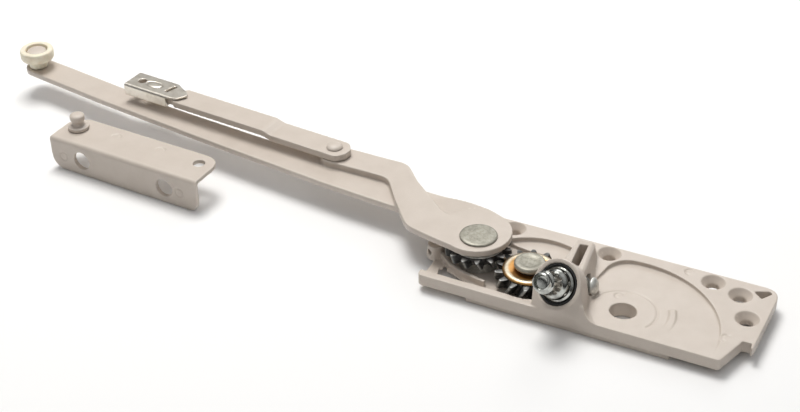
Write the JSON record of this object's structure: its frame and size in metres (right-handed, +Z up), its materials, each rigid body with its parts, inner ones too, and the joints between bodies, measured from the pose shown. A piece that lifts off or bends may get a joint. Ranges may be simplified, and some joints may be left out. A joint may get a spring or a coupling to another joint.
{
  "type": "casement window operator",
  "caption": "Split-arm casement window operator: die-cast base, worm and gear drive, long roller arm, S-shaped arm with snap link, and a loose angle bracket with a stud.",
  "frame": {"origin": "middle of the base casting's flat underside", "axes": "+X along the base towards its bay end, +Y towards the sash side, +Z up away from the sill; the arms lie closed towards -X"},
  "size_m": [0.3718, 0.0803, 0.028],
  "materials": {
    "painted_casting": "stone powder coat on zinc die casting, satin",
    "painted_steel": "stone powder coat on pressed steel, satin",
    "rivet_zinc": "mottled zinc plate, satin",
    "washer_steel": "zinc plated, satin",
    "brass_washer": "polished rim, copper-coloured centre",
    "gear_steel": "dark oiled steel, bright tooth tips",
    "shaft_chrome": "bright nickel plate",
    "seal_rubber": "matt black",
    "roller_nylon": "ivory nylon, satin",
    "clip_nickel": "nickel plated spring sheet, satin"
  },
  "bodies": {
    "housing": {"base_casting": "painted_casting", "arm_pivot_post": "rivet_zinc", "idler_pivot_post": "rivet_zinc", "thrust_washer": "brass_washer", "idler_floor_washer": "washer_steel", "arm_floor_washer": "washer_steel", "shaft_bushing": "gear_steel", "shaft_seal": "seal_rubber"},
    "crank": {"crank_shaft": "shaft_chrome", "thrust_collar": "washer_steel"},
    "idler": {"idler_gear": "gear_steel"},
    "arms": {"arm_gear": "gear_steel", "arm_spacer": "washer_steel", "long_arm": "painted_steel", "short_arm": "painted_steel", "roller_rivet": "painted_steel", "link_rivet": "painted_steel"},
    "track_roller": {"roller": "roller_nylon"},
    "link_strap": {"link": "painted_steel"},
    "clip": {"snap_clip": "clip_nickel"},
    "bracket": {"sash_bracket": "painted_steel", "bracket_stud": "painted_steel"}
  },
  "joints": [
    {"name": "arm_swing", "type": "hinge", "parent": "housing", "child": "arms", "pos_m": [-0.0496, -0.0025, 0.012], "axis": [0, 0, -1], "range_deg": [0, 95]},
    {"name": "idler_spin", "type": "hinge", "parent": "housing", "child": "idler", "pos_m": [-0.02545, -0.00715, 0.0074], "axis": [0, 0, -1], "range_deg": [-95, 0]},
    {"name": "crank_turn", "type": "hinge", "parent": "housing", "child": "crank", "pos_m": [-0.0093, -0.0197, 0.017], "axis": [0.1563, 0.8041, -0.5736], "range_deg": [0, 1330]},
    {"name": "roller_spin", "type": "hinge", "parent": "arms", "child": "track_roller", "pos_m": [-0.298, 0.0393, 0.0195], "axis": [0, 0, 1], "continuous": true},
    {"name": "link_swing", "type": "hinge", "parent": "arms", "child": "link_strap", "pos_m": [-0.1305, 0.0267, 0.0178], "axis": [0, 0, 1], "range_deg": [-17, 115]},
    {"name": "clip_slide", "type": "slide", "parent": "link_strap", "child": "clip", "axis": [0.9963, -0.0854, 0], "range_m": [0, 0.003]},
    {"name": "bracket_lift", "type": "slide", "parent": "housing", "child": "bracket", "axis": [0, 0, 1], "range_m": [0, 0.06]}
  ],
  "couplings": [
    {"joint": "idler_spin", "follows": "arm_swing", "ratio": -1},
    {"joint": "crank_turn", "follows": "arm_swing", "ratio": 14}
  ]
}
